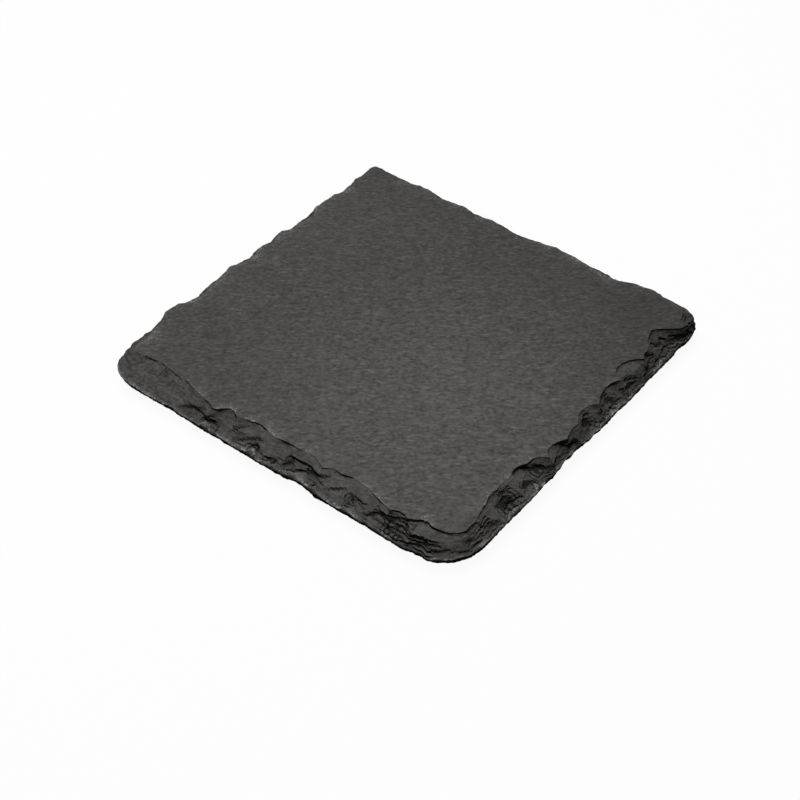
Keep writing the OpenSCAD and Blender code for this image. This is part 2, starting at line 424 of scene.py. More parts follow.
@dataclass(frozen=True)
class FoamFinish:
    """Black closed-cell foam with fine pores."""

    cell_wall: tuple = (0.016, 0.016, 0.017, 1.0)
    pore: tuple = (0.004, 0.004, 0.004, 1.0)
    cell_size: float = 0.28 * MM
    roughness: float = 0.86
    gloss: float = 0.3
    name: str = "foam_cells"

    def material(self) -> bpy.types.Material:
        """Makes the foam's material."""
        material, graph = new_material(self.name)
        inputs = {"Vector": graph.object_coordinates(), "Scale": 1 / self.cell_size}
        cells = graph.node("ShaderNodeTexVoronoi", {"feature": "F1"}, inputs, "Distance")
        cloud = graph.grain((1.4, 1.4, 1.4), detail=3.0, start=0.3)
        wall = cells.masked(0.12, 0.5)
        colour = graph.mixed(wall + cloud * 0.4, self.pore, self.cell_wall)
        relief = graph.bump(0.6, 0.08, wall + cloud * 0.5)
        roughness = self.roughness + cloud * 0.2
        graph.finish_with(graph.surface(colour, roughness, relief, self.gloss))
        return material


@dataclass(frozen=True)
class AdhesiveFinish:
    """Cream adhesive film, slightly cloudy."""

    clear: tuple = (0.60, 0.55, 0.41, 1.0)
    cloudy: tuple = (0.46, 0.42, 0.30, 1.0)
    roughness: float = 0.34
    name: str = "adhesive_film"

    def material(self) -> bpy.types.Material:
        """Makes the adhesive's material."""
        material, graph = new_material(self.name)
        cloud = graph.grain((0.9, 0.9, 0.9), detail=3.0, start=0.15)
        colour = graph.mixed(cloud * 1.6 + 0.5, self.clear, self.cloudy)
        roughness = self.roughness + cloud * 0.3
        graph.finish_with(graph.surface(colour, roughness, graph.bump(0.3, 0.03, cloud)))
        return material


# The slab's chipped edge


class Side(Enum):
    """The slab's sides in turn, anticlockwise seen from above."""

    FRONT = 0
    RIGHT = 1
    BACK = 2
    LEFT = 3

    def turned(self, run: float, out: float) -> Vector:
        """A point run along and out from the middle of this side's frame, in plan."""
        points = ((run, -out), (out, run), (-run, out), (-out, -run))
        return Vector(points[self.value])


@dataclass(frozen=True)
class Chip:
    """A flake struck off a side.

    Its place and half width are shares of half the side, its setback is a share of the side's
    bevel, and its falls are shares of the height from the top face down to the rim.
    """

    place: float
    half_width: float
    setback: float
    riser_top: float
    riser_foot: float
    stepping: float
    lean: float = 0.0
    run_out: float = 1.0

    def loosened(self, loose: float, broken: float) -> "Chip":
        """The chip with its stepping and the height of its riser changed by two factors.

        The riser of a shelf stays whole.
        """
        if self.run_out < SHELF_FALL:
            broken = 1.0
        foot = self.riser_top + (self.riser_foot - self.riser_top) * broken
        return replace(self, stepping=min(1.0, self.stepping * loose), riser_foot=foot)

    def depth(self, place: float, fall: float, hollow: float) -> float:
        """How far the chip reaches in from the rim.

        Args:
            place: place along the side.
            fall: fall below the top face.
            hollow: how hollow its foot is, 1 for a straight one.

        Returns:
            The setback there, as a share of the side's bevel.
        """
        if not self.riser_top <= fall < self.run_out:
            return 0.0
        t = (place - self.place) / self.half_width
        if abs(t) >= 1:
            return 0.0
        t -= self.lean * (1 - t * t) / 2
        foot = min(1.0, (self.run_out - fall) / max(1e-6, self.run_out - self.riser_foot))
        return self.setback * math.sqrt(1 - t * t) * foot**hollow


@dataclass(frozen=True)
class Ripples:
    """The rings that spread over a scar from where it was struck.

    Their place and fall are shares as a chip's are; their reach, spacing and height are in
    millimetres, and they stand at full height over the inner share of the reach. Their
    troughs get painted shade.
    """

    place: float
    fall: float
    reach: float
    spacing: float
    height: float = 0.10
    inner: float = 0.375

    def ring(self, along: float, down: float) -> tuple[float, float]:
        """How high the rings stand at a spot, and how far it lies in a trough.

        Args:
            along: distance from their middle along the side, in millimetres.
            down: distance from their middle down the slope, in millimetres.

        Returns:
            The height in millimetres, and the trough from 0 to 1.
        """
        away = math.hypot(along, down)
        fade = ramp(away, self.reach, self.inner * self.reach)
        wave = math.cos(2 * math.pi * away / self.spacing)
        return self.height * wave * fade, max(0.0, -wave) * fade


@dataclass(frozen=True)
class ChippedSide:
    """One side of the slab with everything that was struck off it.

    Its half run, its bevel and the depth of its nicks are in millimetres, and its other sizes
    are shares as a chip's are. Its nicks, bruises and hollows are rows of the tables below.
    """

    side: Side
    half_run: float
    bevel: float
    arris: tuple
    arris_riser: float
    arris_curve: float
    worn_edge: float
    chips: tuple
    nicks: tuple
    bruises: tuple
    hollows: tuple
    slant: float
    ripples: tuple
    quiet: tuple
    worn_fall: float = 0.14
    brokenness: Unevenness = Unevenness(0, 5.0, 2, mean=0.7, swing=1.8)

    def plain(self, place: float, fall: float) -> float:
        """Setback of the edge where no chip reaches, as a share of the bevel."""
        broken = self.brokenness.at(place * self.half_run, SIDE_GAP * self.side.value)
        riser = self.arris_riser * max(0.0, broken)
        foot = min(1.0, (1 - fall) / (1 - riser))
        worn = self.worn_edge * broken * max(0.0, 1 - fall / self.worn_fall)
        return along_line(self.arris, place) * foot**self.arris_curve + max(0.0, worn)

    def chips_at(self, place: float) -> list[Chip]:
        """The chips that reach a place along the side."""
        return [c for c in self.chips if abs(place - c.place) < c.half_width]

    def nick(self, place: float) -> float:
        """Depth of the rim's nicks at a place, in millimetres."""
        return max(
            depth * scallop(place, middle, half_width) ** 2
            for middle, half_width, depth in self.nicks
        )

    # Gloom dents a torn hollow in and also gives it painted shade
    def gloom(self, place: float, fall: float) -> float:
        """How deep in a torn hollow a spot of the edge lies, from 0 to about 1."""
        deepest = 0.0
        for middle, width, level, height, strength in self.hollows:
            along = (place - middle) / width
            down = (fall - level - self.slant * (place - middle)) / height
            deepest = max(deepest, strength * (1 - along * along - down * down))
        return deepest

    def rings(self, place: float, fall: float) -> tuple[float, float]:
        """Height and trough of the rings of its scars at a spot of the edge."""
        height = trough = 0.0
        for ripples in self.ripples:
            along = (place - ripples.place) * self.half_run
            if abs(along) < ripples.reach:
                ring = ripples.ring(along, (fall - ripples.fall) * self.bevel)
                height += ring[0]
                trough = max(trough, ring[1])
        return height, trough

    def bruise(self, place: float, upper: bool) -> float:
        """How bruised the arris, or else the rim, is at a place, from 0 to 1."""
        return max(
            strength * scallop(place, middle, half_width)
            for middle, half_width, strength in self.bruises[upper]
        )


# Each table below holds the front, right, back and left side in turn.
# Line of the arris between the chips: place, share of the bevel
ARRIS_LINES = (
    (
        (-0.985, 0.62), (-0.96, 0.92), (-0.945, 1.02), (-0.92, 1.15), (-0.9, 1.21),
        (-0.83, 1.06), (-0.78, 0.97), (-0.74, 0.88), (-0.69, 0.81), (-0.63, 0.76), (-0.56, 0.7),
        (-0.48, 0.62), (-0.43, 0.55), (-0.4, 0.52), (-0.36, 0.42), (-0.34, 0.46), (-0.31, 0.58),
        (-0.26, 0.62), (-0.22, 0.58), (-0.18, 0.68), (-0.13, 0.7), (-0.09, 0.72), (-0.04, 0.66),
        (0.01, 0.65), (0.04, 0.69), (0.1, 0.66), (0.16, 0.65), (0.2, 0.6), (0.25, 0.51),
        (0.28, 0.66), (0.3, 0.69), (0.34, 0.67), (0.38, 0.74), (0.44, 0.73), (0.5, 0.66),
        (0.55, 0.57), (0.61, 0.48), (0.66, 0.46), (0.72, 0.4), (0.77, 0.3), (0.81, 0.34),
        (0.87, 0.44), (0.92, 0.5), (0.97, 0.45),
    ),
    (
        (-0.95, 0.4), (-0.88, 0.42), (-0.8, 0.53), (-0.74, 0.6), (-0.68, 0.72), (-0.62, 0.8),
        (-0.55, 0.85), (-0.5, 0.87), (-0.43, 0.88), (-0.38, 0.86), (-0.35, 0.72), (-0.3, 0.65),
        (-0.275, 0.47), (-0.255, 0.2), (-0.23, 0.4), (-0.2, 0.5), (-0.16, 0.37), (-0.12, 0.27),
        (-0.06, 0.37), (-0.01, 0.42), (0.04, 0.66), (0.07, 0.68), (0.095, 0.62), (0.15, 0.44),
        (0.19, 0.6), (0.24, 0.68), (0.3, 0.65), (0.34, 0.52), (0.36, 0.74), (0.4, 0.62),
        (0.44, 0.45), (0.49, 0.35), (0.53, 0.4), (0.56, 0.5), (0.59, 0.58), (0.62, 0.66),
        (0.65, 0.88), (0.7, 1.0), (0.73, 1.04), (0.77, 0.92), (0.8, 0.78), (0.84, 0.32),
        (0.88, 0.22), (0.93, 0.15), (0.98, 0.2),
    ),
    (
        (-0.97, 0.35), (-0.93, 0.42), (-0.89, 0.33), (-0.81, 0.29), (-0.73, 0.19),
        (-0.65, 0.18), (-0.61, 0.38), (-0.57, 0.58), (-0.53, 0.68), (-0.45, 0.64),
        (-0.37, 0.54), (-0.29, 0.42), (-0.21, 0.35), (-0.17, 0.22), (-0.13, 0.42),
        (-0.05, 0.54), (-0.01, 0.7), (0.07, 0.68), (0.15, 0.54), (0.23, 0.5), (0.27, 0.66),
        (0.31, 0.62), (0.35, 0.52), (0.43, 0.37), (0.51, 0.48), (0.55, 0.44), (0.63, 0.13),
        (0.67, 0.17), (0.75, 0.48), (0.79, 0.36), (0.87, 0.38),
    ),
    (
        (-0.88, 0.48), (-0.84, 0.28), (-0.8, 0.48), (-0.74, 0.5), (-0.68, 0.53), (-0.64, 0.33),
        (-0.56, 0.26), (-0.51, 0.28), (-0.47, 0.52), (-0.39, 0.48), (-0.35, 0.51),
        (-0.31, 0.62), (-0.27, 0.54), (-0.23, 0.26), (-0.19, 0.4), (-0.14, 0.6), (-0.06, 0.34),
        (-0.02, 0.42), (0.02, 0.62), (0.1, 0.42), (0.14, 0.25), (0.18, 0.38), (0.26, 0.43),
        (0.34, 0.55), (0.39, 0.64), (0.47, 0.55), (0.51, 0.34), (0.55, 0.18), (0.59, 0.26),
        (0.63, 0.55), (0.71, 0.78), (0.79, 0.77), (0.86, 0.68), (0.92, 0.6),
    ),
)
# Large chips, with the fields of Chip
CHIPS = (
    (
        (-0.27, 0.08, 0.67, 0.0, 0.2, 0.2, -0.4), (-0.13, 0.11, 0.74, 0.0, 0.14, 0.05, 0.1),
        (0.42, 0.13, 0.76, 0.0, 0.11, 0.05, -0.3), (0.69, 0.1, 0.58, 0.0, 0.1, 0.9, -0.6),
        (0.86, 0.22, 0.74, 0.0, 0.2, 0.2, 0.0, 0.3), (-0.44, 0.12, 0.37, 0.52, 0.58, 0.2),
        (-0.34, 0.05, 0.33, 0.4, 0.46, 0.4, 0.3), (-0.21, 0.06, 0.37, 0.5, 0.55, 0.3, -0.5),
        (-0.13, 0.1, 0.37, 0.57, 0.62, 0.3, -0.6), (0.0, 0.03, 0.23, 0.75, 0.8, 0.5, -0.5),
        (0.06, 0.04, 0.31, 0.62, 0.7, 0.5, -0.6), (0.12, 0.06, 0.52, 0.35, 0.46, 0.3, -0.7),
        (0.21, 0.13, 0.5, 0.4, 0.48, 0.3, -0.7), (0.26, 0.09, 0.33, 0.62, 0.68, 0.3, -0.5),
        (0.46, 0.1, 0.46, 0.5, 0.55, 0.3, -0.3), (0.41, 0.05, 0.34, 0.6, 0.66, 0.6, -0.7),
        (0.57, 0.08, 0.5, 0.3, 0.35, 0.9, 0.3), (0.84, 0.18, 0.37, 0.28, 0.32, 0.9, 0.4),
    ),
    (
        (-0.78, 0.12, 0.57, 0.0, 0.12, 0.5), (-0.58, 0.12, 0.87, 0.0, 0.1, 0.4, 0.0, 0.9),
        (-0.41, 0.09, 0.93, 0.0, 0.22, 0.1), (-0.33, 0.07, 0.7, 0.0, 0.12, 0.1, -0.7),
        (-0.19, 0.08, 0.52, 0.0, 0.1, 0.2, -0.8, 0.6),
        (-0.15, 0.08, 0.38, 0.12, 0.2, 0.3, -0.6), (0.06, 0.1, 0.7, 0.0, 0.03, 0.2, 0.3),
        (0.25, 0.12, 0.7, 0.0, 0.12, 0.15, 0.2), (0.44, 0.11, 0.95, 0.0, 0.12, 0.2, -0.5, 0.26),
        (0.58, 0.06, 0.6, 0.0, 0.14, 0.4, -0.3), (0.95, 0.07, 0.8, 0.0, 0.1, 0.6, 0.0, 0.24),
        (0.92, 0.05, 0.36, 0.2, 0.26, 0.8, 0.0, 0.5), (-0.7, 0.09, 0.55, 0.3, 0.35, 0.7),
        (-0.55, 0.1, 0.78, 0.22, 0.27, 0.6, 0.3), (-0.52, 0.07, 0.6, 0.42, 0.48, 0.6, -0.3),
        (-0.43, 0.05, 0.55, 0.5, 0.56, 0.6), (-0.35, 0.07, 0.56, 0.3, 0.36, 0.5, 0.4),
        (-0.11, 0.07, 0.24, 0.46, 0.52, 0.5), (0.07, 0.05, 0.6, 0.27, 0.36, 0.5),
        (0.17, 0.04, 0.45, 0.32, 0.42, 0.6), (0.23, 0.06, 0.62, 0.22, 0.28, 0.5),
        (0.33, 0.04, 0.44, 0.42, 0.5, 0.5), (0.4, 0.06, 0.53, 0.27, 0.34, 0.3, -0.6),
        (0.59, 0.05, 0.44, 0.36, 0.44, 0.6), (0.66, 0.05, 0.78, 0.24, 0.3, 0.5),
        (0.73, 0.05, 0.72, 0.38, 0.43, 0.6), (0.8, 0.05, 0.52, 0.42, 0.48, 0.6),
    ),
    (
        (-0.47, 0.16, 1.05, 0.0, 0.0, 0.2, 0.0, 0.2),
        (0.03, 0.14, 1.1, 0.0, 0.0, 0.2, 0.0, 0.2), (0.29, 0.08, 1.0, 0.0, 0.0, 0.2, 0.0, 0.2),
        (0.52, 0.08, 0.8, 0.0, 0.0, 0.3, 0.0, 0.2), (0.77, 0.1, 0.8, 0.0, 0.0, 0.3, 0.0, 0.22),
        (-0.85, 0.1, 0.62, 0.0, 0.0, 0.3, 0.0, 0.2), (-0.97, 0.08, 0.5, 0.3, 0.45, 0.6),
        (-0.71, 0.12, 0.34, 0.3, 0.45, 0.6), (-0.45, 0.12, 0.46, 0.45, 0.65, 0.7),
        (-0.23, 0.1, 0.36, 0.3, 0.5, 0.6), (0.04, 0.11, 0.5, 0.4, 0.6, 0.7),
        (0.41, 0.09, 0.4, 0.3, 0.6, 0.5), (0.69, 0.11, 0.36, 0.25, 0.6, 0.6),
    ),
    (
        (-0.74, 0.11, 0.92, 0.0, 0.0, 0.2, 0.0, 0.22),
        (-0.37, 0.14, 0.92, 0.0, 0.0, 0.2, -0.3, 0.22),
        (-0.14, 0.07, 0.88, 0.0, 0.0, 0.2, 0.0, 0.22),
        (0.03, 0.09, 0.95, 0.0, 0.0, 0.2, 0.0, 0.22),
        (0.34, 0.17, 1.0, 0.0, 0.0, 0.2, 0.4, 0.22),
        (0.79, 0.16, 1.5, 0.0, 0.0, 0.2, 0.0, 0.26), (-0.56, 0.11, 0.4, 0.25, 0.45, 0.6),
        (-0.22, 0.08, 0.36, 0.25, 0.5, 0.6), (-0.38, 0.09, 0.4, 0.45, 0.65, 0.6),
        (0.14, 0.07, 0.4, 0.2, 0.45, 0.6), (0.36, 0.11, 0.44, 0.45, 0.65, 0.6),
        (0.56, 0.1, 0.42, 0.22, 0.5, 0.6), (0.8, 0.12, 0.5, 0.45, 0.65, 0.6),
    ),
)
# Nicks of the rim: place, half width, depth in millimetres
NICKS = (
    (
        (-0.58, 0.1, 0.35), (-0.36, 0.08, 0.25), (0.18, 0.1, 0.72), (0.46, 0.03, 0.3),
        (0.8, 0.06, 0.55),
    ),
    (
        (-0.33, 0.06, 0.3), (-0.12, 0.16, 0.8), (0.04, 0.03, 0.35), (0.48, 0.09, 0.25),
        (0.76, 0.06, 0.4), (0.8, 0.04, 0.5), (0.94, 0.06, 0.45),
    ),
    ((-0.47, 0.15, 0.3), (0.03, 0.13, 0.35), (0.29, 0.07, 0.25), (0.53, 0.07, 0.15)),
    (
        (-0.74, 0.09, 0.3), (-0.36, 0.13, 0.3), (0.03, 0.07, 0.2), (0.36, 0.17, 0.4),
        (0.8, 0.15, 0.4),
    ),
)
# Bruises of the rim: place, half width, strength
RIM_BRUISES = (
    (
        (0.0, 1.0, 0.33), (0.92, 0.06, 0.8), (-0.9, 0.06, 0.9), (-0.8, 0.05, 0.8),
        (-0.66, 0.08, 1.3), (-0.5, 0.05, 0.7), (-0.37, 0.05, 0.7), (-0.28, 0.03, 1.0),
        (-0.2, 0.03, 1.0), (-0.11, 0.04, 1.0), (-0.02, 0.06, 0.6), (0.22, 0.06, 0.7),
        (0.36, 0.06, 0.8), (0.47, 0.04, 0.9), (0.64, 0.05, 0.7),
    ),
    (
        (0.0, 1.0, 0.5), (-0.93, 0.06, 0.8), (-0.78, 0.05, 0.7), (-0.54, 0.03, 1.0),
        (-0.39, 0.03, 0.6), (-0.24, 0.05, 0.7), (0.05, 0.06, 0.5), (0.24, 0.05, 0.8),
        (0.42, 0.06, 0.7), (0.58, 0.05, 0.7), (0.84, 0.06, 1.0),
    ),
    ((-0.35, 0.06, 0.7), (0.15, 0.05, 0.7), (0.61, 0.05, 0.7)),
    ((0.94, 0.12, 0.5), (-0.34, 0.06, 0.7), (0.16, 0.05, 0.6), (0.66, 0.06, 0.7)),
)
# Bruises of the arris: place, half width, strength; the first row of the back and of the
# left side runs along the whole side and is partly painted light, a paler band on the lip
ARRIS_BRUISES_AND_LIGHT = (
    (
        (-0.56, 0.03, 0.6), (-0.48, 0.05, 0.8), (-0.3, 0.06, 0.8), (-0.18, 0.05, 0.6),
        (-0.05, 0.06, 1.0), (0.12, 0.06, 0.4), (0.46, 0.05, 0.6), (0.55, 0.06, 0.7),
        (0.8, 0.07, 0.9),
    ),
    (
        (-0.62, 0.08, 0.5), (-0.46, 0.06, 0.6), (-0.34, 0.05, 0.5), (0.1, 0.05, 0.4),
        (0.3, 0.05, 0.4),
    ),
    (
        (0.0, 1.0, 0.5), (-0.45, 0.16, 0.45), (0.05, 0.16, 0.45), (0.29, 0.08, 0.45),
        (0.55, 0.1, 0.4), (0.77, 0.1, 0.45),
    ),
    (
        (0.0, 1.0, 0.5), (-0.74, 0.1, 0.5), (-0.37, 0.12, 0.5), (-0.13, 0.06, 0.5),
        (0.03, 0.08, 0.5), (0.34, 0.18, 0.5), (0.61, 0.03, 0.8), (0.8, 0.18, 0.6),
    ),
)
# Torn hollows, dented in and darkened with painted shade: place, half width, fall, half
# height, strength
HOLLOWS = (
    (
        (-0.46, 0.08, 0.6, 0.11, 1.1), (-0.2, 0.05, 0.37, 0.06, 0.7),
        (-0.13, 0.09, 0.62, 0.07, 1.1), (-0.34, 0.05, 0.72, 0.1, 0.7),
        (-0.08, 0.03, 0.88, 0.08, 1.0), (0.01, 0.03, 0.8, 0.1, 1.0),
        (0.09, 0.03, 0.73, 0.1, 1.3), (0.23, 0.08, 0.53, 0.11, 1.2),
        (0.34, 0.06, 0.62, 0.06, 0.8), (0.47, 0.06, 0.6, 0.06, 1.1),
        (0.55, 0.05, 0.68, 0.14, 0.9), (0.64, 0.06, 0.42, 0.12, 1.1),
        (0.71, 0.06, 0.43, 0.08, 0.9), (0.82, 0.09, 0.66, 0.1, 1.2),
        (0.93, 0.06, 0.66, 0.08, 0.9),
    ),
    (
        (-0.85, 0.05, 0.53, 0.13, 0.9), (-0.69, 0.06, 0.71, 0.16, 0.8),
        (-0.56, 0.07, 0.61, 0.2, 1.0), (-0.41, 0.05, 0.72, 0.13, 1.1),
        (-0.31, 0.08, 0.55, 0.17, 1.1), (-0.11, 0.07, 0.55, 0.08, 1.2),
        (0.04, 0.045, 0.5, 0.2, 1.2), (0.14, 0.03, 0.55, 0.11, 0.9),
        (0.23, 0.04, 0.59, 0.13, 0.9), (0.37, 0.03, 0.71, 0.11, 1.2),
        (0.41, 0.07, 0.5, 0.06, 1.2), (0.53, 0.04, 0.53, 0.13, 1.1),
        (0.61, 0.05, 0.38, 0.1, 1.1), (0.7, 0.04, 0.5, 0.08, 0.9),
        (0.78, 0.05, 0.65, 0.13, 1.0), (0.92, 0.05, 0.5, 0.2, 0.6),
    ),
    (
        (-0.62, 0.07, 0.55, 0.25, 0.8), (-0.25, 0.06, 0.65, 0.22, 0.9),
        (0.0, 0.06, 0.45, 0.2, 0.7), (0.26, 0.06, 0.6, 0.24, 0.9), (0.62, 0.07, 0.5, 0.26, 0.8),
        (0.86, 0.06, 0.6, 0.22, 0.8),
    ),
    (
        (-0.7, 0.06, 0.5, 0.24, 0.8), (-0.36, 0.06, 0.62, 0.24, 0.9),
        (-0.02, 0.06, 0.48, 0.22, 0.8), (0.22, 0.06, 0.6, 0.24, 0.9),
        (0.48, 0.06, 0.52, 0.24, 0.8), (0.8, 0.07, 0.6, 0.22, 0.7),
    ),
)
# Rings on the scars
RIPPLES = (
    (Ripples(0.43, 0.62, 3.0, 0.95), Ripples(0.66, 0.80, 4.6, 0.90, 0.14)),
    (
        Ripples(-0.55, 0.66, 4.6, 1.00, 0.14), Ripples(-0.33, 0.62, 3.6, 0.85, 0.12),
        Ripples(0.24, 0.75, 2.6, 0.90), Ripples(0.06, 0.70, 2.4, 0.90),
    ),
    (),
    (),
)
# Stretches that no small flake came off
QUIET = (((-1.0, -0.46), (0.27, 0.40)), ((-0.05, 0.05),), (), ())


@dataclass(frozen=True)
class Station:
    """A place on the slab's outline, in millimetres, with the sides that shape it."""

    core: Vector
    reach: Vector
    shares: tuple
    relief: float

    def spot(self, setback: float, core_inset: float) -> Vector:
        """The point in plan that lies a setback in from the rim."""
        return self.core + self.reach * (1 - setback / core_inset)

    def blended(self, read: Callable[[ChippedSide, float], float]) -> float:
        """What is read off each side at this place, weighted by the sides' shares."""
        return sum(weight * read(side, place) for side, place, weight in self.shares)


@dataclass
class SlateSlab:
    """The slab of natural slate; sizes are in millimetres.

    Four values for the sides or corners start at the front side or the corner that ends it.
    """

    length: float = 100.0
    depth: float = 98.0
    bottom: float = 1.65
    top: float = 6.65
    rim_height: float = 1.55
    corner_radii: tuple = (11.0, 5.0, 1.5, 9.3)
    corner_reliefs: tuple = (0.04, 0.14, 0.2, 0.2)
    core_share: float = 1.25
    side_steps: int = 330
    corner_steps: int = 120
    # The chips
    bevels: tuple = (8.3, 6.4, 2.8, 3.3)
    arris_riser: float = 0.10
    arris_curves: tuple = (0.95, 1.0, 1.0, 1.0)
    worn_edges: tuple = (0.0, 0.0, 0.16, 0.20)
    slants: tuple = (-3.4, 3.0, 0.0, 0.0)
    hollow: float = 0.85
    lowest_cut: float = 0.9999
    hollow_depth: float = 0.18
    hollow_tear: float = 0.6
    # The small flakes at random, each with a range to draw from
    first_seed: int = 7
    flakes_per_side: int = 60
    flake_tops: tuple = (0.5, 0.94)
    flake_risers: tuple = (0.05, 0.18)
    flake_half_widths: tuple = (0.5, 2.6)
    flake_setbacks: tuple = (0.05, 0.32)
    flake_run_outs: tuple = (0.12, 0.45)
    flake_steppings: tuple = (0.2, 0.9)
    flake_leans: tuple = (-0.7, 0.7)
    lowest_foot: float = 0.97
    # The beds that they break along
    beds: tuple = (0.12, 0.15, 0.14, 0.16, 0.13, 0.16, 0.14)
    bed_layers: tuple = (3, 3, 2, 3, 2, 3, 2)
    least_step: float = 0.012
    plain_stepping: float = 0.05
    tearing: Unevenness = Unevenness(0, 2.4, 3, rise=2.3)
    splinters: Unevenness = Unevenness(5, 0.6, 2, swing=0.6, rise=1.7)
    pitting: Unevenness = Unevenness(0, 2.2, 4, rise=3.5)
    looseness: Unevenness = Unevenness(40, 4.5, mean=1.0, swing=0.9, rise=3.1)
    brokenness: Unevenness = Unevenness(71, 4.0, 2, mean=1.0, swing=1.8)
    brokenness_limits: tuple = (0.2, 2.0)
    bed_lean: Unevenness = Unevenness(50, 8.0, swing=0.12, rise=4.0)
    lean_fade: float = 0.25
    # How ragged the breaks are
    ragged: float = 0.30
    rasps: tuple = (1.0, 1.35, 1.8, 1.8)
    plain_rasp: float = 0.35
    rim_rasp: float = 0.4
    full_rasp_rise: float = 0.5
    torn_gain: float = 1.6
    arris_calm: float = 0.6
    # The creases under the beds and the painted shade put in them
    full_tread: float = 0.5
    crease_width: float = 0.13
    crease_drop: float = 0.006
    inner_crease_shade: float = 0.3
    crease_patches: Unevenness = Unevenness(60, 2.6, 2, mean=0.75, swing=1.1, rise=2.3)
    # The rim, the undercut below it as rows of its share, its share of the height and its
    # painted shadow, and the underside as rows of its inset past the undercut and its
    # painted shade
    rim_level: Unevenness = Unevenness(8, 5.0, 3, swing=0.45)
    rim_waver: Unevenness = Unevenness(3, 1.4, 3, swing=0.18)
    rim_sway: Unevenness = Unevenness(4, 3.6, 2, swing=0.26)
    rim_growth: float = 0.06
    undercut: float = 0.6
    undercut_line: tuple = (
        (0.04, 0.05, 1.0), (0.3, 0.28, 1.0), (0.55, 0.62, 0.85), (1.0, 1.0, 0.75),
    )
    least_undercut: float = 0.02
    undercut_sway: Unevenness = Unevenness(20, 5.0, 3, mean=1.0, swing=0.35)
    undercut_rasp: Unevenness = Unevenness(22, 1.0, 2, swing=0.12, rise=1.0)
    underside_line: tuple = ((0.5, 0.7), (1.8, 0.0))
    # The lip of the honed face, as rows of the inset from the arris and the share of its
    # bruise, and how far the bruises spread below the arris and above the rim
    speckled_lip: tuple = ((4.0, 0.0), (1.9, 0.25), (0.8, 0.4), (0.25, 0.7))
    lip_drop: float = 0.02
    lip_fade: float = 0.08
    worn_lip_fade: float = 0.7
    lip_share: float = 0.7
    rim_wear: tuple = (0.90, 0.98)
    most_bruise: float = 0.8
    least_patch: float = 0.2
    bruise_patches: tuple = (
        Unevenness(85, 2.0, 3, mean=1.0, swing=1.2),
        Unevenness(80, 3.0, 3, mean=0.9, swing=1.1),
    )
    # The painted shade of the contour below a worn lip: where it fades in and out, and how
    # strong it is
    contour_start: tuple = (0.05, 0.13)
    contour_end: tuple = (0.36, 0.20)
    contour_run: tuple = (0.70, 0.40)
    contour_wear: float = 0.12
    most_contour: float = 0.9
    contour_patches: Unevenness = Unevenness(90, 3.0, 2, mean=0.65, swing=0.9)
    # How far up a face may point and still get the painted shade of a riser, and where faces
    # that point down stop getting it
    sheer_limits: tuple = (0.52, 0.52, 0.26, 0.26)
    sheer_softness: float = 0.32
    downward: tuple = (-0.95, -0.75)
    sharp_angle: float = 32.0
    finish: SlateFinish = field(default_factory=SlateFinish)

    def __post_init__(self) -> None:
        """Works out the core, the layers and the sides."""
        self.core_inset = self.core_share * max(*self.bevels, *self.corner_radii)
        self.rim_z = self.bottom + self.rim_height
        self.bed_tops = [sum(self.beds[:bed]) for bed in range(len(self.beds) + 1)]
        self.sides = [self._side(side) for side in Side]

    def _side(self, side: Side) -> ChippedSide:
        """One side with its large chips and many small random ones."""
        index = side.value
        made = ChippedSide(
            side=side,
            half_run=(self.length, self.depth)[index % 2] / 2,
            bevel=self.bevels[index],
            arris=ARRIS_LINES[index],
            arris_riser=self.arris_riser,
            arris_curve=self.arris_curves[index],
            worn_edge=self.worn_edges[index],
            chips=tuple(Chip(*row) for row in CHIPS[index]),
            nicks=NICKS[index],
            bruises=(RIM_BRUISES[index], ARRIS_BRUISES_AND_LIGHT[index]),
            hollows=HOLLOWS[index],
            slant=self.slants[index],
            ripples=RIPPLES[index],
            quiet=QUIET[index],
        )
        return replace(made, chips=made.chips + self._flakes(made))

    def _flakes(self, side: ChippedSide) -> tuple:
        """Small flakes at random that came off a side after its large chips."""
        dice = random.Random(self.first_seed + side.side.value)
        flakes = []
        for _ in range(self.flakes_per_side):
            place = dice.uniform(-1, 1)
            top = dice.uniform(*self.flake_tops)
            foot = min(self.lowest_foot, top + dice.uniform(*self.flake_risers))
            bitten = max(c.depth(place, top, self.hollow) for c in side.chips)
            bitten = max(bitten, side.plain(place, top))
            flake = Chip(
                place=place,
                half_width=dice.uniform(*self.flake_half_widths) / side.half_run,
                setback=bitten + dice.uniform(*self.flake_setbacks) / side.bevel,
                riser_top=top,
                riser_foot=foot,
                run_out=min(1.0, foot + dice.uniform(*self.flake_run_outs)),
                stepping=dice.uniform(*self.flake_steppings),
                lean=dice.uniform(*self.flake_leans),
            )
            if not any(start < place < end for start, end in side.quiet):
                flakes.append(flake)
        return tuple(flakes)

    def _corner_reach(self, angle: float, radius: float) -> float:
        """Distance from the core's corner out to the rounded corner's rim.

        Args:
            angle: direction from the side's normal, in radians.
            radius: the corner's radius.

        Returns:
            The distance in millimetres.
        """
        centre = self.core_inset - radius
        slope = math.tan(angle) if angle < math.pi / 4 else math.tan(math.pi / 2 - angle)
        if self.core_inset * slope <= centre:
            return self.core_inset / max(math.sin(angle), math.cos(angle))
        nearest = centre * (math.sin(angle) + math.cos(angle))
        return nearest + math.sqrt(nearest * nearest - 2 * centre * centre + radius * radius)

